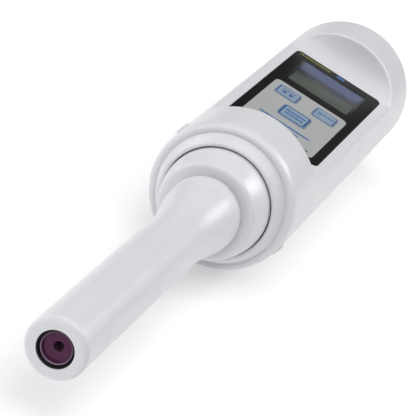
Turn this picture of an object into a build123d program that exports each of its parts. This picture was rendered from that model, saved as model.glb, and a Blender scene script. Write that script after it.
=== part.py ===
from build123d import *
import math
import os

# Handheld light meter: a cylindrical body with a display pocket milled into its top, a
# stepped bell collar at the front and a long lens tube.  Millimetres.  The part lies on
# its underside: +Z is up, the spine of the meter runs along +Y from the lens to the rear,
# and the origin is the centre of its footprint.  "Station" is the distance back from the
# lens tip and "height" is measured from the spine.

# ---- driving dimensions ------------------------------------------------------------
LENGTH = 403.0             # lens tip to rear face
BODY_RADIUS = 32.7
TUBE_RADIUS = 12.5         # lens tube, a standard 25 mm barrel
WALL = 3.0                 # body shell
END_ROUND = 10.0           # rounding of both ends of the body

FLARE_START = 132.0        # station where the tube starts to swell into its horn
HORN_STATION = 169.0
HORN_ROUND = 3.3
NECK_RADIUS = 13.1         # tube behind the horn, inside the collar
HORN_SEAT = 15.2           # radius where the back of the horn meets the collar
NECK_END = 215.0
TUBE_BORE = 9.5
LENS_BORE = 7.5
LENS_BORE_DEPTH = 16.0
TIP_ROUND = 2.5

LENS_APEX = 1.4            # optics, stations behind the lens tip
LENS_EDGE = 2.5
LENS_REAR = 3.1
LENS_RADIUS = 7.3
LENS_OPEN = 6.2            # radius of the domed part that shows inside the retaining ring
LENS_DOME = (1.67, 3.1)    # point on the dome
RETAINER_BORE = 6.35
STOP_FRONT = 3.2           # conical aperture stop behind the lens
STOP_BACK = 7.0
PUPIL_RADIUS = 1.95
PUPIL_FRONT = 4.0
BAFFLE_FRONT = 18.4
BAFFLE_LENGTH = 39.6
BAFFLE_RADIUS = 9.4
SENSOR_FRONT = 58.1
SENSOR_BACK = 65.5
SENSOR_BORE = 4.75
DIODE_CAN = (4.1, 60.0, 64.4)      # radius, front and back
DIODE_RIM = (4.65, 65.5)           # radius and back
CABLE_RADIUS = 1.6
CABLE_FRONT = 67.3

COLLAR_RADIUS = 23.8       # bell-shaped probe collar at its widest
COLLAR_SHOULDER = (171.2, 21.0)
COLLAR_SHOULDER_ROUND = 2.0
COLLAR_FLANK = (177.4, 22.7)    # point on the bulge between shoulder and widest part
COLLAR_VALLEY = 172.2      # bottom of the valley between horn and shoulder
COLLAR_WIDEST = 184.4
COLLAR_BACK = 199.0
COLLAR_SLEEVE = 18.5       # radius of the collar's stepped sleeve inside the body
SLEEVE_BACK = 204.2
RING_BORE = 24.3           # clamp ring around the collar, with a dark gap between them
RING_RADIUS = 28.9
RING_FLANK = (188.6, 27.3)      # point on the ring's rounded flank
RING_ROUND = 1.0
RING_FRONT = 184.8
RING_BACK = 200.4
BODY_FRONT = 192.9         # seat of the clamp ring, inside the body's front lip
LIP_VALLEY_RADIUS = 29.0
LIP_STATION = 196.9        # where the body's front rounding starts
LIP_SWEEP = 30             # degrees that the rounding turns before the lip's edge
LIP_ROUND = 1.5
FRONT_WALL_BACK = 200.5
FRONT_HOLE = 27.55

POCKET_FRONT = 222.4       # display pocket, station of its two end walls
POCKET_BACK = 368.5
POCKET_FLOOR = 16.1        # height of the flat above the spine
FLAT_FRONT = 233.0
FLAT_BACK = 357.0
RIM_ROUND = 1.2            # rounding of the pocket's rim

PANEL_WIDTH = 47.4
PANEL_FRONT = 241.9
PANEL_BACK = 358.4
PANEL_CORNER = 3.2
PANEL_PROUD = 0.35         # bezel above the flat
PANEL_THICK = 2.0
FIT = 0.1                  # clearance around a dropped-in panel part

LCD_WIDTH = 32.4           # viewing area
LCD_FRONT = 318.0
LCD_BACK = 349.5
FIELD_WIDTH = 38.8         # keypad plate
FIELD_FRONT = 246.0
FIELD_BACK = 309.5
FIELD_CORNER = 3.0
LEDGE = 1.3                # step that carries the keypad plate and the window
PLATE_THICK = 1.1
WINDOW_THICK = 0.5
GLASS_SIZE = (39.2, 35.4)  # display cell under the bezel, with a raised face in its opening

KEY_PROUD = 0.35
KEY_TRAVEL = 0.5
KEY_GAP = 0.2              # around each key cap
SMALL_KEY = (11.7, 12.3)
LARGE_KEY = (14.5, 15.0)
SMALL_KEY_X = 10.0
SMALL_KEY_STATION = 298.8
LARGE_KEY_STATION = 278.8

LATCH_STATION = 207.0
LATCH_ANGLE = -20.7        # clock position of the right-hand latch, degrees from +X
LATCH_SIZE = (5.0, 5.4)
LATCH_CORNER = 1.0
LATCH_TOP = 33.6
LATCH_SHOULDER = 28.0      # outer face of the flange that holds the latch in
LATCH_FLANGE = 1.1         # flange past the latch on every side
LATCH_STEM = (23.0, 1.9)   # foot of the stem that carries the spring, height and radius
SPRING_FOOT = 20.6
SPRING_TOP = 25.3         # as short as the pressed spring
SPRING_RADII = (3.0, 2.2)

CHASSIS_HEIGHT = -12.0     # top of the chassis tray
CHASSIS_HALF = 22.2
CHASSIS_CORNER = 2.0
CHASSIS_END = 388.0
BULKHEAD = (216.1, 219.0)
BOARD_HEIGHT = -6.0        # underside of the main board
BOARD_SIZE = (31.6, 59.0)
BOARD_MIDDLE = 255.5
BOARD_THICK = 1.6
DISPLAY_BOARD_HEIGHT = 9.0
DISPLAY_BOARD_THICK = 1.5
DISPLAY_BOARD_WIDTH = 42.4
CELL_RADIUS = 7.15
CELL_LENGTH = 50.4
CELL_X = 7.6
CELL_HEIGHT = -4.0
CELL_START = 291.0
CAP_RADIUS = 20.35
CAP_PLUG = 17.8

CENTRE_HEIGHT = BODY_RADIUS                  # spine above the ground
SECTION = Plane(origin=(0, -LENGTH / 2, CENTRE_HEIGHT), x_dir=(0, 1, 0), z_dir=(1, 0, 0))
SPINE = Axis((0, 0, CENTRE_HEIGHT), (0, 1, 0))


def level(height):
    """Horizontal plane at a height above the spine, with Y counted as station."""
    return Plane((0, -LENGTH / 2, CENTRE_HEIGHT + height))


def across(station):
    """Plane across the spine at a station, X to the right and Y up."""
    return Plane(origin=(0, station - LENGTH / 2, CENTRE_HEIGHT), x_dir=(1, 0, 0), z_dir=(0, -1, 0))


def save(builder, label):
    builder.part.label = label
    export_step(builder.part, f"parts/{label}.step")


def save_ring(label, front, back, inner, outer):
    """A plain ring or disc around the spine."""
    with BuildPart() as ring:
        with BuildSketch(SECTION):
            with Locations(((front + back) / 2, (inner + outer) / 2)):
                Rectangle(back - front, outer - inner)
        revolve(axis=SPINE)
    save(ring, label)


def pocket_outline(gap):
    """Edges of the display pocket's side profile, widened by a gap on every side."""
    front = POCKET_FRONT - gap
    back = POCKET_BACK + gap
    floor = POCKET_FLOOR - gap
    above = BODY_RADIUS + 8
    with BuildLine(Plane.XY) as outline:
        Line((FLAT_FRONT, floor), (FLAT_BACK, floor))
        EllipticalCenterArc((FLAT_BACK, BODY_RADIUS), back - FLAT_BACK, BODY_RADIUS - floor,
                            start_angle=270, arc_size=90)
        Polyline((back, BODY_RADIUS), (back, above), (front, above), (front, BODY_RADIUS))
        EllipticalCenterArc((FLAT_FRONT, BODY_RADIUS), FLAT_FRONT - front, BODY_RADIUS - floor,
                            start_angle=180, arc_size=90)
    return outline.edges()


os.makedirs("parts", exist_ok=True)

# ---- body shell --------------------------------------------------------------------
panel_middle = (PANEL_FRONT + PANEL_BACK) / 2
panel_length = PANEL_BACK - PANEL_FRONT
bezel_bottom = POCKET_FLOOR + PANEL_PROUD - PANEL_THICK
floor_opening = (43.2, 106.0)
screw_x = 19.5
screw_stations = (PANEL_FRONT + 2.7, PANEL_BACK - 2.8)
cavity_back = LENGTH - 14.0

with BuildPart() as cavity:
    with BuildSketch(SECTION):
        inner = BODY_RADIUS - WALL
        inner_round = END_ROUND - WALL
        with BuildLine():
            Polyline((FRONT_WALL_BACK, 0), (FRONT_WALL_BACK, inner), (cavity_back, inner))
            CenterArc((cavity_back, inner - inner_round), inner_round, 90, -90)
            Polyline((cavity_back + inner_round, inner - inner_round),
                     (cavity_back + inner_round, 0), (FRONT_WALL_BACK, 0))
        make_face()
    revolve(axis=SPINE)
    with BuildSketch(SECTION):
        make_face(pocket_outline(WALL))
    extrude(amount=BODY_RADIUS + 5, both=True, mode=Mode.SUBTRACT)

with BuildPart() as body_shell:
    with BuildSketch(SECTION) as shell_outline:
        front_round = (LIP_STATION, BODY_RADIUS - END_ROUND)
        rear_round = (LENGTH - END_ROUND, BODY_RADIUS - END_ROUND)
        with BuildLine():
            lip = CenterArc(front_round, END_ROUND, 90, LIP_SWEEP)
            Line((BODY_FRONT, LIP_VALLEY_RADIUS), lip @ 1)
            Polyline((BODY_FRONT, LIP_VALLEY_RADIUS), (BODY_FRONT, 0), (LENGTH, 0),
                     (LENGTH, BODY_RADIUS - END_ROUND))
            CenterArc(rear_round, END_ROUND, 0, 90)
            Line((LENGTH - END_ROUND, BODY_RADIUS), lip @ 0)
        make_face()
        fillet(shell_outline.vertices().sort_by(Axis.X)[0], radius=LIP_ROUND)
    revolve(axis=SPINE)
    with BuildSketch(SECTION):
        make_face(pocket_outline(0))
    extrude(amount=BODY_RADIUS + 5, both=True, mode=Mode.SUBTRACT)
    rim = body_shell.edges().filter_by(GeomType.BSPLINE)
    rim += body_shell.edges().filter_by(Axis.Y).filter_by_position(
        Axis.Z, CENTRE_HEIGHT + POCKET_FLOOR - 0.1, CENTRE_HEIGHT + POCKET_FLOOR + 0.1)
    fillet(rim, radius=RIM_ROUND)
    add(cavity.part, mode=Mode.SUBTRACT)
    # front hole for the clamp ring, and the stepped hole in the rear wall for the cap
    with BuildSketch(across(BODY_FRONT - 1)):
        Circle(FRONT_HOLE)
    extrude(amount=-(FRONT_WALL_BACK - BODY_FRONT + 2), mode=Mode.SUBTRACT)
    with BuildSketch(across(LENGTH - 4)):
        Circle(CAP_RADIUS + 0.1)
    extrude(amount=-5, mode=Mode.SUBTRACT)
    with BuildSketch(across(LENGTH - 10)):
        Circle(CAP_PLUG + 0.1)
        with PolarLocations(CAP_PLUG, 2, start_angle=60):
            Rectangle(3.6, 7.0)
    extrude(amount=-8, mode=Mode.SUBTRACT)
    # seat for the display panel and the opening under it
    with BuildSketch(level(bezel_bottom - 0.05)):
        with Locations((0, panel_middle)):
            RectangleRounded(PANEL_WIDTH + 2 * FIT, panel_length + 2 * FIT, PANEL_CORNER + FIT)
    extrude(amount=6, mode=Mode.SUBTRACT)
    with BuildSketch(level(POCKET_FLOOR - WALL - 1)):
        with Locations((0, panel_middle)):
            RectangleRounded(*floor_opening, 2)
    extrude(amount=WALL + 2, mode=Mode.SUBTRACT)
    for station in screw_stations:
        for side in (-1, 1):
            with Locations(level(bezel_bottom - 0.05).location):
                with Locations((side * screw_x, station)):
                    CounterSinkHole(1.1, 2.15, depth=4)
    # windows for the two latches
    for angle in (LATCH_ANGLE, LATCH_ANGLE + 180):
        outward = Vector(1, 0, 0).rotate(Axis.Y, -angle)
        latch_plane = Plane(origin=(0, LATCH_STATION - LENGTH / 2, CENTRE_HEIGHT),
                            x_dir=(0, 1, 0), z_dir=outward)
        with BuildSketch(latch_plane.offset(25)):
            RectangleRounded(LATCH_SIZE[0] + 0.3, LATCH_SIZE[1] + 0.3, LATCH_CORNER + 0.15)
        extrude(amount=12, mode=Mode.SUBTRACT)
save(body_shell, "body_shell")

# ---- front collar ------------------------------------------------------------------
with BuildPart() as clamp_ring:
    with BuildSketch(SECTION) as ring_outline:
        with BuildLine():
            flank = ThreePointArc((RING_FRONT, RING_BORE), RING_FLANK, (BODY_FRONT - 0.05, RING_RADIUS))
            Polyline(flank @ 1, (BODY_FRONT - 0.05, FRONT_HOLE - 0.05), (RING_BACK, FRONT_HOLE - 0.05),
                     (RING_BACK, RING_BORE), flank @ 0)
        make_face()
        fillet(ring_outline.vertices().sort_by(Axis.X)[0], radius=RING_ROUND)
    revolve(axis=SPINE)
save(clamp_ring, "clamp_ring")

horn_turn = math.degrees(math.asin((HORN_SEAT - NECK_RADIUS) / HORN_ROUND))
horn_back = HORN_STATION + HORN_ROUND * math.cos(math.radians(horn_turn))

with BuildPart() as probe_collar:
    with BuildSketch(SECTION) as collar_outline:
        with BuildLine():
            ThreePointArc(COLLAR_SHOULDER, COLLAR_FLANK, (COLLAR_WIDEST, COLLAR_RADIUS))
            Polyline((COLLAR_WIDEST, COLLAR_RADIUS), (COLLAR_BACK, COLLAR_RADIUS),
                     (COLLAR_BACK, COLLAR_SLEEVE), (SLEEVE_BACK, COLLAR_SLEEVE),
                     (SLEEVE_BACK, NECK_RADIUS + 0.05), (horn_back + 0.05, NECK_RADIUS + 0.05),
                     (horn_back + 0.05, HORN_SEAT), (COLLAR_VALLEY, HORN_SEAT), COLLAR_SHOULDER)
        make_face()
        fillet(collar_outline.vertices().sort_by(Axis.X)[0], radius=COLLAR_SHOULDER_ROUND)
        valley = collar_outline.vertices().sort_by_distance((COLLAR_VALLEY, HORN_SEAT))[0]
        fillet(valley, radius=0.5)
    revolve(axis=SPINE)
    with BuildSketch(SECTION):
        with Locations((181, 14)):
            Rectangle(2, 2)
    revolve(axis=SPINE, mode=Mode.SUBTRACT)
save(probe_collar, "probe_collar")

save_ring("collar_seal", 188.5, 190.5, COLLAR_RADIUS + 0.02, RING_BORE - 0.02)
save_ring("neck_seal", 180.1, 181.9, NECK_RADIUS + 0.02, 14.9)

# ---- lens tube ---------------------------------------------------------------------
with BuildPart() as probe_tube:
    with BuildSketch(SECTION):
        with BuildLine():
            CenterArc((TIP_ROUND, TUBE_RADIUS - TIP_ROUND), TIP_ROUND, 180, -90)
            Line((TIP_ROUND, TUBE_RADIUS), (FLARE_START, TUBE_RADIUS))
            Spline((FLARE_START, TUBE_RADIUS), (HORN_STATION, NECK_RADIUS + HORN_ROUND),
                   tangents=[(1, 0), (1, 0)])
            horn = CenterArc((HORN_STATION, NECK_RADIUS), HORN_ROUND, 90, horn_turn - 90)
            Polyline(horn @ 1, (horn_back, NECK_RADIUS), (NECK_END, NECK_RADIUS),
                     (NECK_END, TUBE_BORE), (LENS_BORE_DEPTH, TUBE_BORE),
                     (LENS_BORE_DEPTH, LENS_BORE), (0, LENS_BORE), (0, TUBE_RADIUS - TIP_ROUND))
        make_face()
    revolve(axis=SPINE)
save(probe_tube, "probe_tube")

save_ring("tube_nut", 204.5, 210.5, NECK_RADIUS + 0.02, 17.5)
save_ring("probe_socket", 204.6, 216.0, 17.8, 20.5)

# ---- optics ------------------------------------------------------------------------
SEAT = LENS_BORE - 0.05
with BuildPart() as lens_retainer:
    with BuildSketch(SECTION):
        with BuildLine():
            Polyline((0.6, RETAINER_BORE + 0.4), (0.6, SEAT), (LENS_EDGE - 0.1, SEAT),
                     (LENS_EDGE - 0.1, RETAINER_BORE), (1.2, RETAINER_BORE), (0.6, RETAINER_BORE + 0.4))
        make_face()
    revolve(axis=SPINE)
save(lens_retainer, "lens_retainer")

with BuildPart() as objective_lens:
    with BuildSketch(SECTION):
        with BuildLine():
            ThreePointArc((LENS_APEX, 0), LENS_DOME, (LENS_EDGE, LENS_OPEN))
            Polyline((LENS_EDGE, LENS_OPEN), (LENS_EDGE, LENS_RADIUS), (LENS_REAR, LENS_RADIUS),
                     (LENS_REAR, 0), (LENS_APEX, 0))
        make_face()
    revolve(axis=SPINE)
save(objective_lens, "objective_lens")

with BuildPart() as aperture_stop:
    with BuildSketch(SECTION):
        with BuildLine():
            Polyline((STOP_FRONT, SEAT - 0.5), (STOP_FRONT, SEAT), (STOP_BACK, SEAT),
                     (STOP_BACK, PUPIL_RADIUS), (PUPIL_FRONT, PUPIL_RADIUS), (STOP_FRONT, SEAT - 0.5))
        make_face()
    revolve(axis=SPINE)
save(aperture_stop, "aperture_stop")
save_ring("lens_spacer", STOP_BACK + 0.1, LENS_BORE_DEPTH - 0.1, 6.4, SEAT)

with BuildPart() as optical_filter:
    with BuildSketch(across(LENS_BORE_DEPTH + 0.1)):
        Circle(TUBE_BORE - 0.15)
    extrude(amount=-2)
save(optical_filter, "optical_filter")

baffle_wall = (BAFFLE_RADIUS - 1.6, BAFFLE_RADIUS)
baffle_middle = BAFFLE_FRONT + BAFFLE_LENGTH / 2
with BuildPart() as baffle_tube:
    with BuildSketch(SECTION):
        with Locations((baffle_middle, sum(baffle_wall) / 2)):
            Rectangle(BAFFLE_LENGTH, baffle_wall[1] - baffle_wall[0])
        with GridLocations(6.0, 0, 6, 1):
            with Locations((baffle_middle, baffle_wall[0] - 0.4)):
                Rectangle(0.8, 1.6)
    revolve(axis=SPINE)
save(baffle_tube, "baffle_tube")

save_ring("sensor_holder", SENSOR_FRONT, SENSOR_BACK, SENSOR_BORE, TUBE_BORE - 0.1)
with BuildPart() as photodiode:
    with BuildSketch(across(DIODE_CAN[1])):
        Circle(DIODE_CAN[0])
    extrude(amount=-(DIODE_CAN[2] - DIODE_CAN[1]))
    with BuildSketch(across(DIODE_CAN[2])):
        Circle(DIODE_RIM[0])
    extrude(amount=-(DIODE_RIM[1] - DIODE_CAN[2]))
save(photodiode, "photodiode")
with BuildPart() as sensor_board:
    with BuildSketch(across(SENSOR_BACK + 0.1)):
        Circle(TUBE_BORE - 0.2)
    extrude(amount=-BOARD_THICK)
save(sensor_board, "sensor_board")
save_ring("sensor_retainer", CABLE_FRONT, CABLE_FRONT + 2, 7.4, TUBE_BORE - 0.05)

connector_front = 227.0
with BuildPart() as sensor_cable:
    with BuildSketch(across(CABLE_FRONT)):
        Circle(CABLE_RADIUS)
    extrude(amount=-(connector_front - CABLE_FRONT - 0.1))
save(sensor_cable, "sensor_cable")

# ---- chassis, screws and boards ----------------------------------------------------
standoff_spots = [(x, station) for x in (-13.0, 13.0) for station in (230.0, 281.0)]
display_posts = [(x, station) for x in (-18.6, 18.6) for station in (252.0, 311.8)]
case_posts = [(x, station) for x in (-screw_x, screw_x) for station in screw_stations]

with BuildPart() as chassis:
    with BuildSketch(level(CHASSIS_HEIGHT - 2)):
        with Locations((0, (BULKHEAD[0] + CHASSIS_END) / 2)):
            RectangleRounded(2 * CHASSIS_HALF, CHASSIS_END - BULKHEAD[0], CHASSIS_CORNER)
    extrude(amount=2)
    with BuildSketch(level(CHASSIS_HEIGHT)):
        for side in (-1, 1):
            with Locations((side * (CHASSIS_HALF - 0.6), (BULKHEAD[1] + CHASSIS_END) / 2)):
                Rectangle(1.2, CHASSIS_END - BULKHEAD[1] - 4)
    extrude(amount=4)
    with BuildSketch(level(CHASSIS_HEIGHT)):
        with Locations(*display_posts):
            Circle(2.2)
    extrude(amount=DISPLAY_BOARD_HEIGHT - CHASSIS_HEIGHT - 0.05)
    with BuildSketch(level(CHASSIS_HEIGHT)):
        with Locations(*case_posts):
            Circle(2.6)
    extrude(amount=POCKET_FLOOR - WALL - CHASSIS_HEIGHT - 0.05)
    with BuildSketch(across(BULKHEAD[0])):
        Circle(24.0)
        Circle(11.0, mode=Mode.SUBTRACT)
    extrude(amount=-(BULKHEAD[1] - BULKHEAD[0]))
    for spots, height in ((display_posts, DISPLAY_BOARD_HEIGHT), (case_posts, POCKET_FLOOR - WALL)):
        with BuildSketch(level(height)):
            with Locations(*spots):
                Circle(1.0)
        extrude(amount=-8, mode=Mode.SUBTRACT)
save(chassis, "chassis")


def save_screws(label, spots, head_height, head_radius, shank, sunk):
    """A set of cross-head screws driven downwards, heads sitting on head_height."""
    head = 1.1
    top = head_height if sunk else head_height + head
    with BuildPart() as screws:
        with BuildSketch(level(top)):
            with Locations(*spots):
                Circle(head_radius)
        extrude(amount=-head, taper=40 if sunk else 0)
        with BuildSketch(level(top)):
            with Locations(*spots):
                Circle(0.95)
        extrude(amount=-(head + shank))
        with BuildSketch(level(top)):
            for spot in spots:
                with Locations(spot):
                    Rectangle(2.0, 0.45)
                    Rectangle(0.45, 2.0)
        extrude(amount=-0.5, mode=Mode.SUBTRACT)
    save(screws, label)


save_screws("case_screws", case_posts, bezel_bottom - 0.08, 1.95, 5.0, True)

board_top = BOARD_HEIGHT + BOARD_THICK
with BuildPart() as main_board:
    with BuildSketch(level(BOARD_HEIGHT)):
        with Locations((0, BOARD_MIDDLE)):
            RectangleRounded(*BOARD_SIZE, 1)
        with Locations(*standoff_spots):
            Circle(1.15, mode=Mode.SUBTRACT)
    extrude(amount=BOARD_THICK)
save(main_board, "main_board")

with BuildPart() as board_standoffs:
    with BuildSketch(level(CHASSIS_HEIGHT)):
        with Locations(*standoff_spots):
            RegularPolygon(2.8, 6)
            Circle(1.0, mode=Mode.SUBTRACT)
    extrude(amount=BOARD_HEIGHT - CHASSIS_HEIGHT)
save(board_standoffs, "board_standoffs")
save_screws("board_screws", standoff_spots, board_top, 1.9, 4.0, False)

with BuildPart() as circuit_chips:
    for x, station, width, length, height in (
        (0, 255, 10, 10, 1.6), (-11, 262, 6, 8, 1.8), (11, 250, 5, 6, 1.8), (10, 266, 7, 4, 2.4),
    ):
        with BuildSketch(level(board_top)):
            with Locations((x, station)):
                Rectangle(width, length)
        extrude(amount=height)
save(circuit_chips, "circuit_chips")

with BuildPart() as sensor_connector:
    with BuildSketch(level(board_top)):
        with Locations((0, connector_front + 4)):
            Rectangle(9, 8)
    extrude(amount=6.6)
save(sensor_connector, "sensor_connector")

display_board_front = 248.3
display_board_back = 352.3
with BuildPart() as display_board:
    with BuildSketch(level(DISPLAY_BOARD_HEIGHT)):
        with Locations((0, (display_board_front + display_board_back) / 2)):
            RectangleRounded(DISPLAY_BOARD_WIDTH, display_board_back - display_board_front, 1)
        with Locations(*display_posts):
            Circle(1.1, mode=Mode.SUBTRACT)
    extrude(amount=DISPLAY_BOARD_THICK)
save(display_board, "display_board")
display_board_top = DISPLAY_BOARD_HEIGHT + DISPLAY_BOARD_THICK
save_screws("display_screws", display_posts, display_board_top, 1.9, 4.0, False)

with BuildPart() as display_ribbon:
    with BuildSketch(level(board_top)):
        with Locations((0, 276)):
            Rectangle(16, 0.4)
    extrude(amount=DISPLAY_BOARD_HEIGHT - board_top)
save(display_ribbon, "display_ribbon")

# ---- display panel -----------------------------------------------------------------
panel_top = POCKET_FLOOR + PANEL_PROUD
lcd_middle = (LCD_FRONT + LCD_BACK) / 2
lcd_length = LCD_BACK - LCD_FRONT
field_middle = (FIELD_FRONT + FIELD_BACK) / 2
field_length = FIELD_BACK - FIELD_FRONT

with BuildPart() as panel_bezel:
    with BuildSketch(level(bezel_bottom)):
        with Locations((0, panel_middle)):
            RectangleRounded(PANEL_WIDTH, panel_length, PANEL_CORNER)
    extrude(amount=PANEL_THICK)
    chamfer(panel_bezel.faces().sort_by(Axis.Z)[-1].edges(), length=0.3)
    with BuildSketch(level(bezel_bottom)):
        with Locations((0, lcd_middle)):
            RectangleRounded(LCD_WIDTH, lcd_length, 0.8)
        with Locations((0, field_middle)):
            RectangleRounded(FIELD_WIDTH - 2 * LEDGE, field_length - 2 * LEDGE, FIELD_CORNER - LEDGE)
    extrude(amount=PANEL_THICK, mode=Mode.SUBTRACT)
    with BuildSketch(level(panel_top - WINDOW_THICK)):
        with Locations((0, lcd_middle)):
            RectangleRounded(LCD_WIDTH + 2 * LEDGE, lcd_length + 2 * LEDGE, 1.5)
    extrude(amount=WINDOW_THICK, mode=Mode.SUBTRACT)
    with BuildSketch(level(panel_top - PLATE_THICK)):
        with Locations((0, field_middle)):
            RectangleRounded(FIELD_WIDTH + FIT, field_length + FIT, FIELD_CORNER)
    extrude(amount=PLATE_THICK, mode=Mode.SUBTRACT)
save(panel_bezel, "panel_bezel")

with BuildPart() as lcd_window:
    with BuildSketch(level(panel_top - WINDOW_THICK + 0.02)):
        with Locations((0, lcd_middle)):
            RectangleRounded(LCD_WIDTH + 2 * LEDGE - FIT, lcd_length + 2 * LEDGE - FIT, 1.45)
    extrude(amount=WINDOW_THICK - 0.05)
save(lcd_window, "lcd_window")

keys = {
    "key_left": (-SMALL_KEY_X, SMALL_KEY_STATION, SMALL_KEY),
    "key_right": (SMALL_KEY_X, SMALL_KEY_STATION, SMALL_KEY),
    "key_center": (0, LARGE_KEY_STATION, LARGE_KEY),
}

with BuildPart() as keypad_plate:
    with BuildSketch(level(panel_top - PLATE_THICK + 0.02)):
        with Locations((0, field_middle)):
            RectangleRounded(FIELD_WIDTH - FIT, field_length - FIT, FIELD_CORNER)
        for x, station, size in keys.values():
            with Locations((x, station)):
                RectangleRounded(size[0] + 2 * KEY_GAP, size[1] + 2 * KEY_GAP, 1.9, mode=Mode.SUBTRACT)
    extrude(amount=PLATE_THICK - 0.02)
save(keypad_plate, "keypad_plate")

mat_top = 12.2
for label, (x, station, size) in keys.items():
    flange_top = panel_top - PLATE_THICK - 0.05
    with BuildPart() as key:
        with BuildSketch(level(flange_top - 0.05)):
            with Locations((x, station)):
                RectangleRounded(*size, 1.7)
        extrude(amount=panel_top + KEY_PROUD - flange_top + 0.05)
        fillet(key.faces().sort_by(Axis.Z)[-1].edges(), radius=0.25)
        with BuildSketch(level(flange_top - 1)):
            with Locations((x, station)):
                RectangleRounded(size[0] + 1.6, size[1] + 1.6, 2)
        extrude(amount=1)
        with BuildSketch(level(flange_top - 1)):
            with Locations((x, station)):
                Circle(2.0)
        extrude(amount=-(flange_top - 1 - mat_top - KEY_TRAVEL - 0.15))
    save(key, label)

with BuildPart() as key_mat:
    with BuildSketch(level(display_board_top + 0.05)):
        with Locations((0, 288.5)):
            RectangleRounded(30, 38, 2)
    extrude(amount=0.9)
    with BuildSketch(level(DISPLAY_BOARD_HEIGHT + 2.4)):
        with Locations(*[(x, station) for x, station, size in keys.values()]):
            Circle(4.0)
    extrude(amount=mat_top - DISPLAY_BOARD_HEIGHT - 2.4, taper=25)
save(key_mat, "key_mat")

with BuildPart() as lcd_frame:
    with BuildSketch(level(display_board_top + 0.1)):
        with Locations((0, lcd_middle)):
            RectangleRounded(DISPLAY_BOARD_WIDTH, GLASS_SIZE[1] + 2.2, 1)
    extrude(amount=bezel_bottom - display_board_top - 0.2)
    with BuildSketch(level(display_board_top + 1.3)):
        with Locations((0, lcd_middle)):
            Rectangle(GLASS_SIZE[0] + 0.2, GLASS_SIZE[1] + 0.2)
    extrude(amount=6, mode=Mode.SUBTRACT)
save(lcd_frame, "lcd_frame")

with BuildPart() as lcd_glass:
    with BuildSketch(level(display_board_top + 1.4)):
        with Locations((0, lcd_middle)):
            Rectangle(*GLASS_SIZE)
    extrude(amount=bezel_bottom - 0.1 - display_board_top - 1.4)
    with BuildSketch(level(bezel_bottom - 0.1)):
        with Locations((0, lcd_middle)):
            RectangleRounded(LCD_WIDTH - 2 * FIT, lcd_length - 2 * FIT, 0.8)
    extrude(amount=panel_top - WINDOW_THICK - 0.04 - bezel_bottom + 0.1)
save(lcd_glass, "lcd_glass")

# ---- batteries and rear cap --------------------------------------------------------
cell_spots = [(-CELL_X, CELL_HEIGHT), (CELL_X, CELL_HEIGHT)]
holder_front = 288.0
holder_back = 391.0

with BuildPart() as battery_holder:
    with BuildSketch(level(CHASSIS_HEIGHT + 0.02)):
        with Locations((0, (holder_front + holder_back) / 2)):
            Rectangle(31.4, holder_back - holder_front)
    extrude(amount=11)
    with BuildSketch(across(holder_front + 2)):
        with Locations(*cell_spots):
            Circle(CELL_RADIUS + 0.2)
    extrude(amount=-(holder_back - holder_front), mode=Mode.SUBTRACT)
    with BuildSketch(across(holder_front + 2)):
        with Locations((0, CELL_HEIGHT)):
            Rectangle(24.2, 7.7)
    extrude(amount=-1, mode=Mode.SUBTRACT)
save(battery_holder, "battery_holder")

with BuildPart() as battery_cells:
    for start in (CELL_START, CELL_START + CELL_LENGTH + 0.1):
        with BuildSketch(across(start + 1)):
            with Locations(*cell_spots):
                Circle(CELL_RADIUS)
        extrude(amount=-(CELL_LENGTH - 1))
        with BuildSketch(across(start)):
            with Locations(*cell_spots):
                Circle(2.7)
        extrude(amount=-1)
save(battery_cells, "battery_cells")

with BuildPart() as front_contact:
    with BuildSketch(across(holder_front + 2.05)):
        with Locations((0, CELL_HEIGHT)):
            Rectangle(24, 7.5)
    extrude(amount=-0.9)
save(front_contact, "front_contact")

cap_face = LENGTH - 0.3
cap_seat = LENGTH - 3.9
with BuildPart() as battery_cap:
    with BuildSketch(across(cap_seat)):
        Circle(CAP_RADIUS)
    extrude(amount=-(cap_face - cap_seat))
    fillet(battery_cap.faces().sort_by(Axis.Y)[-1].edges(), radius=0.6)
    with BuildSketch(across(LENGTH - 8.9)):
        Circle(CAP_PLUG)
    extrude(amount=-(cap_seat - LENGTH + 8.9))
    with BuildSketch(across(LENGTH - 8.9)):
        with PolarLocations(CAP_PLUG, 2, start_angle=0):
            Rectangle(3.0, 6.0)
    extrude(amount=-1.7)
    with BuildSketch(across(cap_face - 1.6)):
        SlotOverall(26, 3.0)
    extrude(amount=-3, mode=Mode.SUBTRACT)
    with BuildSketch(SECTION):
        with Locations((LENGTH - 5.4, CAP_PLUG - 0.3)):
            Rectangle(1.4, 1.8)
    revolve(axis=SPINE, mode=Mode.SUBTRACT)
    with BuildSketch(across(LENGTH - 8.9)):
        Circle(15.2)
    extrude(amount=-2.4, mode=Mode.SUBTRACT)
save(battery_cap, "battery_cap")

save_ring("cap_seal", LENGTH - 6.05, LENGTH - 4.75, CAP_PLUG - 1.15, CAP_PLUG + 0.05)

with BuildPart() as cap_contact:
    with BuildSketch(across(LENGTH - 7.2)):
        Circle(15.0)
    extrude(amount=-0.6)
    with BuildSketch(across(CELL_START + 2 * CELL_LENGTH + 0.2)):
        Circle(9.6)
        Circle(7.6, mode=Mode.SUBTRACT)
    extrude(amount=-(LENGTH - 7.1 - CELL_START - 2 * CELL_LENGTH - 0.2))
save(cap_contact, "cap_contact")

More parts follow.
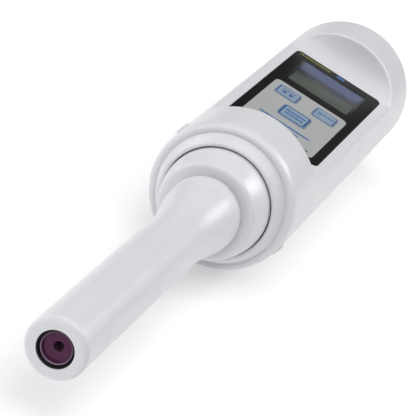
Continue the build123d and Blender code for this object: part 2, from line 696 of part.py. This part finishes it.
# ---- latches -----------------------------------------------------------------------
for side, angle in (("right", LATCH_ANGLE), ("left", LATCH_ANGLE + 180)):
    outward = Vector(1, 0, 0).rotate(Axis.Y, -angle)
    latch_plane = Plane(origin=(0, LATCH_STATION - LENGTH / 2, CENTRE_HEIGHT),
                        x_dir=(0, 1, 0), z_dir=outward)
    with BuildPart() as latch:
        with BuildSketch(latch_plane.offset(LATCH_SHOULDER)):
            RectangleRounded(*LATCH_SIZE, LATCH_CORNER)
        extrude(amount=LATCH_TOP - LATCH_SHOULDER)
        fillet(latch.faces().sort_by(Axis((0, 0, CENTRE_HEIGHT), outward))[-1].edges(), radius=0.4)
        with BuildSketch(latch_plane.offset(LATCH_SHOULDER - LATCH_FLANGE)):
            RectangleRounded(LATCH_SIZE[0] + 2 * LATCH_FLANGE, LATCH_SIZE[1] + 2 * LATCH_FLANGE, 1.5)
        extrude(amount=1.5)
        with BuildSketch(latch_plane.offset(LATCH_STEM[0])):
            Circle(LATCH_STEM[1])
        extrude(amount=LATCH_SHOULDER - LATCH_FLANGE - LATCH_STEM[0])
    save(latch, f"latch_{side}")
    with BuildPart() as spring:
        with BuildSketch(latch_plane.offset(SPRING_FOOT)):
            Circle(SPRING_RADII[0])
            Circle(SPRING_RADII[1], mode=Mode.SUBTRACT)
        extrude(amount=SPRING_TOP - SPRING_FOOT)
    save(spring, f"latch_spring_{side}")
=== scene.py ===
"""The looks of the handheld light meter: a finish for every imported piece, the printing on
its panel and keys, a pale floor, soft studio light and the camera.

Everything is in metres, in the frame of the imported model: the spine of the meter runs along
+Y from the lens to the rear, and the meter lies on its underside on the floor, z = 0.
"""

import math

import bmesh
import bpy
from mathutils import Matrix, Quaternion, Vector


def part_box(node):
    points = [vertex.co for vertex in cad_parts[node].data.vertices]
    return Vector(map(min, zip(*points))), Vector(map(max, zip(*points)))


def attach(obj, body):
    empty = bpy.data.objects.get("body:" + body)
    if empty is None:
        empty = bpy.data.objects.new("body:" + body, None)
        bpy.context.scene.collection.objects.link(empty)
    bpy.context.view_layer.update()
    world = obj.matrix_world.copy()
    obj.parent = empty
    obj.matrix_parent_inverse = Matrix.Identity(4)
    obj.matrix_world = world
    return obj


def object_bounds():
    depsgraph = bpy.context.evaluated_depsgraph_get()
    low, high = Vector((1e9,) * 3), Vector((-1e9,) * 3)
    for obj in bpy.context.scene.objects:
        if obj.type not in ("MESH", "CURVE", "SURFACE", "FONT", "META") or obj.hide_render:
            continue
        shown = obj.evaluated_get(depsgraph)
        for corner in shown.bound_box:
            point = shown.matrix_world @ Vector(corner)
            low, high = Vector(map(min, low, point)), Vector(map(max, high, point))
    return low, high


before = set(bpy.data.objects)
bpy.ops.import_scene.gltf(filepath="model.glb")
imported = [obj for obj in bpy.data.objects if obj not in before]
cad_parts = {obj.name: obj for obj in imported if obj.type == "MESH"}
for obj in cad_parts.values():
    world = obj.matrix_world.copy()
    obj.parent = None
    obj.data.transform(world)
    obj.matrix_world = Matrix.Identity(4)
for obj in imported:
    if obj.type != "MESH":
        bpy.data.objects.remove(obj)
cad_low, cad_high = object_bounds()

MM = 0.001

# ---- view and light ------------------------------------------------------------------
CAMERA_AZIMUTH = math.radians(7.07)      # from the lens end, towards the meter's right
CAMERA_ELEVATION = math.radians(23.59)
CAMERA_ROLL = math.radians(30.26)
CAMERA_DISTANCE = 1.0
CAMERA_LENS = 216.35                     # millimetres, on a 36 mm sensor
AIM_FROM_TIP = Vector((0.0046, 0.1372, 0.0177))
SOFTBOX_DISTANCE = 1.6
WORLD_STRENGTH = 0.06
FLOOR_REACH = 6.0
FLOOR_DROP = 0.0002                      # keeps the floor clear of the underside
FLOOR_GLOW = 0.3
SOFTBOXES = (                            # name, azimuth and elevation, half angle, radiance
    ("key", 144, 38, 11, 7.2),
    ("overhead", 0, 80, 36, 1.9),
    ("front_high", 0, 50, 18, 1.15),
    ("front_low", -20, 12, 20, 1.15),
    ("left_low", -100, 12, 22, 2.0),
    ("right_low", 140, 12, 18, 0.3),
)

# ---- printing ------------------------------------------------------------------------
INK = 0.03 * MM                          # how far a print stands proud
KEY_FLANGE = 0.8 * MM                    # the key's hidden flange, past its cap
KEY_CORNER = 1.7 * MM
OUTLINE_INSET = 0.35 * MM                # from the edge of a key's cap to its outline
SMALL_KEY_LINE = 0.5 * MM
LARGE_KEY_LINE = 0.85 * MM

# ---- lens rim, a painted highlight ---------------------------------------------------
RIM_RADIUS = 6.25 * MM                   # its outer edge
RIM_THICK = 0.2 * MM                     # half the thickness of its round section, at its sides
RIM_SWELL = 0.6                          # how much thicker it is at the bottom, and thinner at the top, following the painted highlight
RIM_DEPTH = 0.8 * MM                     # behind the front of the retainer
RIM_STEPS = 72
RIM_SIDES = 8


def tone(red, green, blue):
    """A colour given as it looks on screen, 0 to 255, as the linear colour of a shader."""
    def linear(value):
        value /= 255
        return value / 12.92 if value <= 0.04045 else ((value + 0.055) / 1.055) ** 2.4
    return (linear(red), linear(green), linear(blue), 1.0)


# ---- materials -----------------------------------------------------------------------
class Finish:
    """A material on the Principled shader, with the few nodes that these finishes share."""

    def __init__(self, name, **constants):
        self.material = bpy.data.materials.new(name)
        self.material.use_nodes = True
        self.tree = self.material.node_tree
        self.shader = self.tree.nodes["Principled BSDF"]
        self.place = self.tree.nodes.new("ShaderNodeTexCoord").outputs["Object"]
        for socket, value in constants.items():
            label = socket.replace("_", " ").title().replace("Ior", "IOR")
            self.shader.inputs[label].default_value = value

    def link(self, source, target):
        self.tree.links.new(source, target)

    def noise(self, scale, detail=2.0, stretch=None):
        """Noise from 0 to 1 with features of 1 / scale metres, drawn out along an axis by stretch."""
        node = self.tree.nodes.new("ShaderNodeTexNoise")
        node.inputs["Scale"].default_value = scale
        node.inputs["Detail"].default_value = detail
        if stretch:
            mapping = self.tree.nodes.new("ShaderNodeMapping")
            mapping.inputs["Scale"].default_value = stretch
            self.link(self.place, mapping.inputs["Vector"])
            self.link(mapping.outputs["Vector"], node.inputs["Vector"])
        else:
            self.link(self.place, node.inputs["Vector"])
        return node.outputs["Fac"]

    def span(self, value, low, high, start=0.35, end=0.65):
        """A value stretched from start..end to low..high and held there."""
        node = self.tree.nodes.new("ShaderNodeMapRange")
        for socket, number in zip(("From Min", "From Max", "To Min", "To Max"), (start, end, low, high)):
            node.inputs[socket].default_value = number
        self.link(value, node.inputs["Value"])
        return node.outputs["Result"]

    def axis(self, name):
        """One coordinate of the surface point, in metres."""
        split = self.tree.nodes.new("ShaderNodeSeparateXYZ")
        self.link(self.place, split.inputs["Vector"])
        return split.outputs[name]

    def blend(self, factor, first, second):
        """Between two colours, each a colour or a socket."""
        node = self.tree.nodes.new("ShaderNodeMix")
        node.data_type = "RGBA"
        self.link(factor, node.inputs["Factor"])
        colours = [s for s in node.inputs if s.type == "RGBA"]
        for socket, colour in zip(colours, (first, second)):
            if isinstance(colour, tuple):
                socket.default_value = colour
            else:
                self.link(colour, socket)
        return [s for s in node.outputs if s.type == "RGBA"][0]

    def sum(self, first, second, how="ADD"):
        """Two values, each a number or a socket, added or joined by another operation."""
        node = self.tree.nodes.new("ShaderNodeMath")
        node.operation = how
        for socket, value in zip(node.inputs, (first, second)):
            if isinstance(value, (int, float)):
                socket.default_value = value
            else:
                self.link(value, socket)
        return node.outputs["Value"]

    def colour(self, socket):
        self.link(socket, self.shader.inputs["Base Color"])

    def roughness(self, socket):
        self.link(socket, self.shader.inputs["Roughness"])

    def relief(self, height, depth):
        """Bump from a height of 0 to 1, depth in metres."""
        node = self.tree.nodes.new("ShaderNodeBump")
        node.inputs["Strength"].default_value = 1.0
        node.inputs["Distance"].default_value = depth
        self.link(height, node.inputs["Height"])
        self.link(node.outputs["Normal"], self.shader.inputs["Normal"])


def moulded(name, light, dark, gloss, grain=1400.0, depth=0.0008 * MM, **constants):
    """Moulded plastic: a faint drift of tone, a fine skin grain and uneven gloss."""
    finish = Finish(name, **constants)
    finish.colour(finish.blend(finish.noise(22.0, 3.0), light, dark))
    finish.roughness(finish.span(finish.noise(90.0, 4.0), gloss - 0.03, gloss + 0.04))
    finish.relief(finish.noise(grain, 3.0), depth)
    return finish.material


def metal(name, light, dark, gloss, stretch=(1, 1, 1), metallic=1.0, **constants):
    """Machined or drawn metal with fine tool marks along the stretched direction."""
    finish = Finish(name, metallic=metallic, **constants)
    marks = finish.noise(900.0, 3.0, stretch)
    finish.colour(finish.blend(marks, light, dark))
    finish.roughness(finish.span(marks, gloss - 0.06, gloss + 0.08))
    finish.relief(marks, 0.004 * MM)
    return finish.material


def white_plastic(name, warmth=0):
    """Glossy white injection moulding, very slightly cool."""
    light = tone(222 + warmth, 223, 226 - warmth)
    dark = tone(218 + warmth, 219, 223 - warmth)
    return moulded(name, light, dark, 0.32)


def bezel_material():
    """Near-black printed film with a fine satin grain."""
    return moulded("bezel_gloss", tone(24, 24, 24), tone(30, 31, 30), 0.33, grain=2600.0,
                   specular_ior_level=0.05)


def keypad_material():
    """Light grey printed film."""
    return moulded("keypad_grey", tone(173, 174, 173), tone(167, 169, 170), 0.42, grain=3000.0,
                   specular_ior_level=0.3)


def key_material():
    """Pale blue key caps, a little uneven in tone."""
    return moulded("key_blue", tone(143, 160, 178), tone(134, 152, 171), 0.4, grain=3000.0,
                   specular_ior_level=0.3)


def lcd_material():
    """Unlit grey-green display cell, darker towards its far edge and lilac at that edge, a painted
    reflection.
    """
    low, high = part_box("lcd_glass")
    finish = Finish("lcd_cell", specular_ior_level=0.2)
    # lilac over the last 16 mm towards the far edge is a painted reflection; the band before it is simply
    # darker
    painted_reflection_far = finish.span(finish.axis("Y"), 0.0, 1.0, high.y - 16 * MM, high.y - 10 * MM)
    streak = finish.span(finish.axis("Y"), 0.0, 1.0, high.y - 24 * MM, high.y - 17 * MM)
    drift = finish.blend(finish.noise(60.0), tone(60, 63, 56), tone(56, 59, 54))
    darker = finish.blend(streak, drift, tone(20, 22, 28))
    finish.colour(finish.blend(painted_reflection_far, darker, tone(40, 50, 82)))
    finish.roughness(finish.span(finish.noise(400.0), 0.3, 0.4))
    finish.relief(finish.noise(2500.0), 0.002 * MM)
    return finish.material


def clear_material(name, tint, ior=1.49, gloss=0.02, **constants):
    """Clear pane or lens with a trace of haze; lamps shine through it onto what is behind."""
    finish = Finish(name, transmission_weight=1.0, ior=ior, **constants)
    finish.colour(finish.blend(finish.noise(80.0), tint, tuple(c * 0.97 for c in tint[:3]) + (1.0,)))
    finish.roughness(finish.span(finish.noise(300.0, 4.0), gloss, gloss + 0.02))
    path = finish.tree.nodes.new("ShaderNodeLightPath")
    through = finish.tree.nodes.new("ShaderNodeBsdfTransparent")
    through.inputs["Color"].default_value = tint
    either = finish.tree.nodes.new("ShaderNodeMixShader")
    finish.link(path.outputs["Is Shadow Ray"], either.inputs["Fac"])
    finish.link(finish.shader.outputs["BSDF"], either.inputs[1])
    finish.link(through.outputs["BSDF"], either.inputs[2])
    finish.link(either.outputs["Shader"], finish.tree.nodes["Material Output"].inputs["Surface"])
    return finish.material


def board_material():
    """Green solder mask over thin copper tracks."""
    finish = Finish("circuit_board", specular_ior_level=0.5)
    tracks = finish.tree.nodes.new("ShaderNodeTexBrick")
    tracks.inputs["Scale"].default_value = 420.0
    tracks.inputs["Mortar Size"].default_value = 0.012
    tracks.inputs["Color1"].default_value = tone(28, 92, 58)
    tracks.inputs["Color2"].default_value = tone(24, 84, 52)
    tracks.inputs["Mortar"].default_value = tone(60, 134, 82)
    finish.link(finish.place, tracks.inputs["Vector"])
    finish.colour(finish.blend(finish.noise(50.0), tracks.outputs["Color"], tone(24, 80, 50)))
    finish.roughness(finish.span(finish.noise(200.0), 0.3, 0.42))
    finish.relief(tracks.outputs["Fac"], 0.02 * MM)
    return finish.material


def cell_material():
    """Printed battery wrap: a coloured band by the plus end, plain grey along the rest."""
    low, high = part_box("battery_cells")
    finish = Finish("cell_wrap", metallic=0.3)
    half = (high.y - low.y) / 2
    along = finish.sum(finish.sum(finish.axis("Y"), -low.y), half, "MODULO")
    band = finish.span(along, 1.0, 0.0, 0.014, 0.0142)
    body = finish.blend(finish.noise(70.0), tone(74, 80, 88), tone(66, 72, 80))
    finish.colour(finish.blend(band, body, tone(196, 150, 60)))
    finish.roughness(finish.span(finish.noise(250.0), 0.3, 0.4))
    finish.relief(finish.noise(1200.0), 0.003 * MM)
    return finish.material


def make_materials():
    """One finish for each material slot of the record."""
    black = (tone(14, 10, 12), tone(20, 15, 18))
    return {
        "white_shell": white_plastic("white_shell"),
        "white_ring": white_plastic("white_ring"),
        "white_collar": white_plastic("white_collar"),
        "white_tube": white_plastic("white_tube"),
        "latch_plastic": white_plastic("latch_plastic", 1),
        "cap_plastic": moulded("cap_plastic", tone(214, 216, 220), tone(208, 210, 215), 0.4),
        "black_rubber": moulded("black_rubber", tone(20, 20, 21), tone(28, 28, 30), 0.65, 2200.0,
                                0.01 * MM),
        "key_rubber": moulded("key_rubber", tone(150, 154, 158), tone(138, 142, 148), 0.6, 1800.0,
                              subsurface_weight=0.1),
        "black_metal": metal("black_metal", *black, 0.38, (1, 0.1, 1), 0.55,
                             specular_ior_level=0.3),
        "coated_glass": clear_material("coated_glass", tone(226, 206, 222), 1.18, 0.01,
                                       specular_tint=tone(226, 190, 226)),
        "filter_glass": clear_material("filter_glass", tone(90, 150, 170), 1.5),
        "aperture_blue": metal("aperture_blue", tone(112, 76, 100), tone(92, 60, 84), 0.45,
                               (1, 0.1, 1), 0.2),
        "socket_plastic": moulded("socket_plastic", tone(52, 54, 58), tone(44, 46, 50), 0.55, 1200.0,
                                  0.008 * MM),
        "bezel_gloss": bezel_material(),
        "window_clear": clear_material("window_clear", tone(250, 251, 252), 1.1, 0.1),
        "lcd_cell": lcd_material(),
        "keypad_grey": keypad_material(),
        "key_blue": key_material(),
        "circuit_board": board_material(),
        "ribbon_film": moulded("ribbon_film", tone(170, 116, 52), tone(158, 104, 44), 0.34, 900.0),
        "cable_jacket": moulded("cable_jacket", tone(40, 40, 44), tone(32, 32, 36), 0.5, 1600.0, 0.006 * MM),
        "screw_steel": metal("screw_steel", tone(180, 180, 184), tone(150, 150, 156), 0.36, (1, 1, 0.15)),
        "contact_brass": metal("contact_brass", tone(206, 172, 96), tone(184, 148, 78), 0.36, (0.2, 1, 1)),
        "cell_wrap": cell_material(),
    }


def ink_material(name, light, dark):
    """Screen-printed ink, a little uneven."""
    return moulded(name, light, dark, 0.45, grain=4000.0, depth=0.002 * MM, specular_ior_level=0.25)


def dress_frame(materials):
    """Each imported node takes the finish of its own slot."""
    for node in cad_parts.values():
        for place in node.material_slots:
            place.material = materials[place.material.name.split(".")[0]]


def add_piece(name, mesh, material, body):
    """A closed mesh as a piece of the visual model, on a body and with one material."""
    data = bpy.data.meshes.new(name)
    bmesh.ops.recalc_face_normals(mesh, faces=mesh.faces)
    mesh.to_mesh(data)
    mesh.free()
    data.materials.append(material)
    piece = bpy.data.objects.new(name, data)
    bpy.context.scene.collection.objects.link(piece)
    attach(piece, body)


# ---- printing on the panel -----------------------------------------------------------
def rounded_outline(centre, size, corner, steps=6):
    """Points of a rounded rectangle, counter-clockwise."""
    half_x = size[0] / 2 - corner
    half_y = size[1] / 2 - corner
    points = []
    for quarter, (sign_x, sign_y) in enumerate(((1, 1), (-1, 1), (-1, -1), (1, -1))):
        for step in range(steps + 1):
            angle = math.radians(90 * (quarter + step / steps))
            points.append((centre[0] + sign_x * half_x + corner * math.cos(angle),
                           centre[1] + sign_y * half_y + corner * math.sin(angle)))
    return points


class Print:
    """One printed piece: flat shapes of ink on a surface at height z."""

    def __init__(self, z):
        self.mesh = bmesh.new()
        self.low = z - INK
        self.high = z + INK

    def patch(self, points):
        """A filled shape."""
        top = [self.mesh.verts.new((x, y, self.high)) for x, y in points]
        bottom = [self.mesh.verts.new((x, y, self.low)) for x, y in points]
        self.mesh.faces.new(top)
        self.mesh.faces.new(bottom[::-1])
        for i in range(len(points)):
            j = (i + 1) % len(points)
            self.mesh.faces.new((bottom[i], bottom[j], top[j], top[i]))

    def bar(self, x, y, width, length):
        """A small filled bar with rounded corners."""
        self.patch(rounded_outline((x, y), (width, length), min(width, length) * 0.2, 3))

    def frame(self, centre, size, corner, line):
        """A rounded outline of a line's width."""
        rings = []
        for inset in (0.0, line):
            outline = rounded_outline(centre, (size[0] - 2 * inset, size[1] - 2 * inset),
                                      max(corner - inset, 0.1 * MM))
            rings.append([[self.mesh.verts.new((x, y, z)) for x, y in outline]
                          for z in (self.low, self.high)])
        (outer_low, outer_high), (inner_low, inner_high) = rings
        for i in range(len(outer_low)):
            j = (i + 1) % len(outer_low)
            self.mesh.faces.new((outer_high[i], outer_high[j], inner_high[j], inner_high[i]))
            self.mesh.faces.new((outer_low[j], outer_low[i], inner_low[i], inner_low[j]))
            self.mesh.faces.new((outer_low[i], outer_low[j], outer_high[j], outer_high[i]))
            self.mesh.faces.new((inner_low[j], inner_low[i], inner_high[i], inner_high[j]))

    def finish(self, name, material, body, slot):
        add_piece(name, self.mesh, material, body)


def key_cap(node):
    """Centre, size and top height of a key's cap."""
    low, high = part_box(node)
    centre = ((low.x + high.x) / 2, (low.y + high.y) / 2)
    size = (high.x - low.x - 2 * KEY_FLANGE, high.y - low.y - 2 * KEY_FLANGE)
    return centre, size, high.z


def row_of_bars(mesh, start, y, count, pitch, width, length):
    """A row of narrow upright bars, every other one a little longer."""
    for i in range(count):
        mesh.bar(start + i * pitch, y, width, length * (0.8 + 0.2 * ((i * 3) % 2)))


def print_keys(blue, deep):
    """Outlines and plain symbols on the three keys; the deep ink of the outlines is printed blue with
    painted shade of the keys' raised sides.
    """
    lines = {"key_left": SMALL_KEY_LINE, "key_right": SMALL_KEY_LINE, "key_center": LARGE_KEY_LINE}
    for node, line in lines.items():
        centre, size, top = key_cap(node)
        outline = Print(top)
        inner = (size[0] - 2 * OUTLINE_INSET, size[1] - 2 * OUTLINE_INSET)
        outline.frame(centre, inner, KEY_CORNER, line)
        outline.finish(node + "_outline", deep, node, "key_blue")
    (x, y), _, top = key_cap("key_left")
    arrows = Print(top)
    for side in (-1, 1):
        tip = x + side * 3.6 * MM
        base = x + side * 0.9 * MM
        low = y - 0.9 * MM
        arrows.patch([(tip, low), (base, low + side * 1.7 * MM), (base, low - side * 1.7 * MM)])
    row_of_bars(arrows, x - 3.0 * MM, y + 2.2 * MM, 6, 1.2 * MM, 0.8 * MM, 1.2 * MM)
    arrows.finish("key_left_symbol", deep, "key_left", "key_blue")
    (x, y), _, top = key_cap("key_right")
    rows = Print(top)
    row_of_bars(rows, x - 3.6 * MM, y + 0.9 * MM, 8, 1.05 * MM, 0.75 * MM, 1.9 * MM)
    rows.bar(x - 2.8 * MM, y - 1.6 * MM, 2.0 * MM, 0.9 * MM)
    rows.finish("key_right_symbol", blue, "key_right", "key_blue")
    (x, y), _, top = key_cap("key_center")
    rows = Print(top)
    for row, count in ((1.9, 9), (-2.0, 8)):
        row_of_bars(rows, x - (count - 1) * 0.6 * MM, y + row * MM, count, 1.2 * MM, 0.9 * MM, 2.3 * MM)
    rows.finish("key_center_symbol", blue, "key_center", "key_blue")


def print_keypad(blue, navy):
    """A line of fine bars under the centre key, and two short marks."""
    low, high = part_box("keypad_plate")
    line = Print(high.z)
    y = low.y + 17.6 * MM
    row_of_bars(line, -13.0 * MM, y, 23, 1.15 * MM, 0.9 * MM, 2.2 * MM)
    line.bar(6.0 * MM, low.y + 13.6 * MM, 4.4 * MM, 1.1 * MM)
    line.finish("keypad_marks", blue, "meter", "keypad_grey")
    mark = Print(high.z)
    mark.bar(15.4 * MM, low.y + 5.0 * MM, 1.4 * MM, 1.2 * MM)
    mark.finish("keypad_dot", navy, "meter", "keypad_grey")


def print_bezel(yellow, blue):
    """A row of thin yellow bars and one blue block along the far edge of the bezel."""
    low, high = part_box("panel_bezel")
    bars = Print(high.z)
    y = high.y - 3.3 * MM
    row_of_bars(bars, low.x + 2.6 * MM, y, 14, 1.25 * MM, 1.0 * MM, 1.4 * MM)
    bars.finish("bezel_dashes", yellow, "meter", "bezel_gloss")
    block = Print(high.z)
    block.bar(1.4 * MM, y, 4.4 * MM, 2.8 * MM)
    block.finish("bezel_block", blue, "meter", "bezel_gloss")


def add_lens_rim():
    """A thin pale ring inside the lens retainer, a painted highlight standing for the glint on the bevelled
    edge of the front lens.
    """
    low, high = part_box("lens_retainer")
    centre = Vector(((low.x + high.x) / 2, low.y + RIM_DEPTH, (low.z + high.z) / 2))
    mesh = bmesh.new()
    rings = []
    for step in range(RIM_STEPS):
        around = 2 * math.pi * step / RIM_STEPS
        out = Vector((math.cos(around), 0, math.sin(around)))
        thick = RIM_THICK * (1 - RIM_SWELL * out.z)
        section = []
        for corner in range(RIM_SIDES):
            turn = 2 * math.pi * corner / RIM_SIDES
            radial = out * (RIM_RADIUS - thick + thick * math.cos(turn))
            section.append(mesh.verts.new(centre + radial + Vector((0, thick * math.sin(turn), 0))))
        rings.append(section)
    for step in range(RIM_STEPS):
        here, after = rings[step], rings[(step + 1) % RIM_STEPS]
        for corner in range(RIM_SIDES):
            side = (corner + 1) % RIM_SIDES
            mesh.faces.new((here[corner], here[side], after[side], after[corner]))
    # pale opaque colour: a painted highlight of the lens bevel, not a colour of its own
    glint_finish = moulded("rim_painted_glint", tone(150, 124, 150), tone(132, 106, 134), 0.34)
    add_piece("lens_rim_glint", mesh, glint_finish, "meter")


# ---- stage ---------------------------------------------------------------------------
def add_camera():
    """Looks along the lens tube towards the body, rolled so that the meter runs corner to corner."""
    low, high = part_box("probe_tube")
    tip = Vector(((low.x + high.x) / 2, low.y, (low.z + high.z) / 2))
    level = math.cos(CAMERA_ELEVATION)
    back = Vector((math.sin(CAMERA_AZIMUTH) * level, -math.cos(CAMERA_AZIMUTH) * level,
                   math.sin(CAMERA_ELEVATION)))
    data = bpy.data.cameras.new("camera")
    data.sensor_width = 36.0
    data.lens = CAMERA_LENS
    camera = bpy.data.objects.new("camera", data)
    camera.location = tip + AIM_FROM_TIP + back * CAMERA_DISTANCE
    camera.rotation_mode = "QUATERNION"
    camera.rotation_quaternion = (-back).to_track_quat("-Z", "Y") @ Quaternion((0, 0, 1), CAMERA_ROLL)
    bpy.context.scene.collection.objects.link(camera)
    bpy.context.scene.camera = camera


def add_softbox(name, azimuth, elevation, half_angle, radiance):
    """A round softbox aimed at the middle of the meter, as wide as its half angle seen from there.

    Azimuth 0 is in front of the lens and 90 is on the meter's right.
    """
    data = bpy.data.lights.new(name, "AREA")
    data.shape = "DISK"
    data.size = 2 * SOFTBOX_DISTANCE * math.tan(math.radians(half_angle))
    data.energy = radiance * math.pi * math.pi * (data.size / 2) ** 2
    light = bpy.data.objects.new(name, data)
    centre = (cad_low + cad_high) / 2
    turn = math.radians(azimuth)
    rise = math.radians(elevation)
    away = Vector((math.sin(turn) * math.cos(rise), -math.cos(turn) * math.cos(rise), math.sin(rise)))
    light.location = centre + away * SOFTBOX_DISTANCE
    light.rotation_mode = "QUATERNION"
    light.rotation_quaternion = (-away).to_track_quat("-Z", "Y")
    bpy.context.scene.collection.objects.link(light)


def add_stage():
    """White floor, even surroundings and the softboxes."""
    scene = bpy.context.scene
    scene.view_settings.view_transform = "Standard"
    floor_mesh = bmesh.new()
    signs = ((-1, -1), (1, -1), (1, 1), (-1, 1))
    floor_mesh.faces.new([floor_mesh.verts.new((x * FLOOR_REACH, y * FLOOR_REACH, 0)) for x, y in signs])
    data = bpy.data.meshes.new("floor")
    floor_mesh.to_mesh(data)
    floor_mesh.free()
    floor = bpy.data.objects.new("floor", data)
    floor.location.z = -FLOOR_DROP
    scene.collection.objects.link(floor)
    finish = Finish("floor", roughness=0.9, specular_ior_level=0.0)
    finish.colour(finish.blend(finish.noise(3.0), tone(226, 226, 226), tone(224, 224, 225)))
    finish.shader.inputs["Emission Color"].default_value = (1, 1, 1, 1)
    finish.shader.inputs["Emission Strength"].default_value = FLOOR_GLOW
    data.materials.append(finish.material)
    world = bpy.data.worlds.new("studio")
    world.use_nodes = True
    background = world.node_tree.nodes["Background"]
    background.inputs["Color"].default_value = (1, 1, 1, 1)
    background.inputs["Strength"].default_value = WORLD_STRENGTH
    scene.world = world
    for light in SOFTBOXES:
        add_softbox(*light)


add_camera()
add_stage()
dress_frame(make_materials())
blue = ink_material("ink_blue", tone(40, 92, 150), tone(48, 102, 160))
# printed blue ink, darkened further as painted shade along the keys' raised sides
deep = ink_material("ink_deep_shaded", tone(22, 66, 126), tone(28, 74, 136))
navy = ink_material("ink_navy", tone(34, 46, 104), tone(42, 54, 112))
yellow = ink_material("ink_yellow", tone(150, 142, 44), tone(138, 130, 38))
print_keys(blue, deep)
print_keypad(blue, navy)
print_bezel(yellow, blue)
add_lens_rim()
